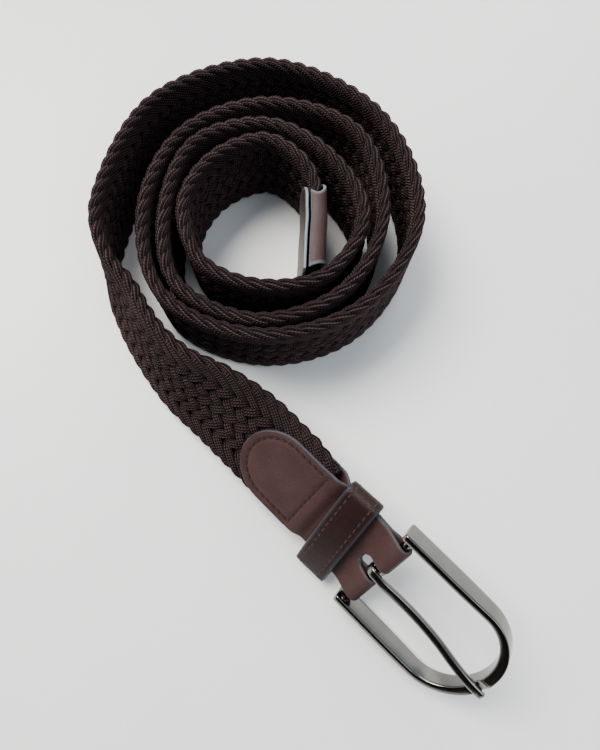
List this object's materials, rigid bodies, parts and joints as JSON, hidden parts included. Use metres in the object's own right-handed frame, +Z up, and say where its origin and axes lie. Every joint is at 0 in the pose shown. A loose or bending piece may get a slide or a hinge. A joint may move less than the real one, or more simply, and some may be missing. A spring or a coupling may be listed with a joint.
{
  "type": "braided belt",
  "caption": "Flat braided strap with a leather tip, a folded leather tab, a keeper loop and a metal frame buckle with a prong, laid down in a loose upright coil.",
  "frame": {"origin": "on the floor under the middle of the whole belt", "axes": "+Z up, +Y from the buckle towards the coil, +X to the right as the belt lies with its buckle nearest"},
  "size_m": [0.1388, 0.2082, 0.0353],
  "materials": {
    "braid": "dark brown plaited cord",
    "leather": "smooth brown leather",
    "keeper": "glossy dark brown leather",
    "metal": "polished grey nickel"
  },
  "bodies": {
    "belt": {"braided_strap": "braid", "tip_wrap": "leather", "tip_backing": "leather", "buckle_tab": "leather", "keeper_loop": "keeper"},
    "buckle": {"buckle_frame": "metal"},
    "prong": {"prong": "metal"}
  },
  "joints": [
    {"name": "buckle_swing", "type": "hinge", "parent": "belt", "child": "buckle", "pos_m": [0.03105, -0.06804, 0.01804], "axis": [-0.4894, -0.5435, -0.682], "range_deg": [-60, 60]},
    {"name": "prong_hinge", "type": "hinge", "parent": "buckle", "child": "prong", "pos_m": [0.03105, -0.06804, 0.01804], "axis": [-0.4894, -0.5435, -0.682], "range_deg": [0, 85]}
  ]
}
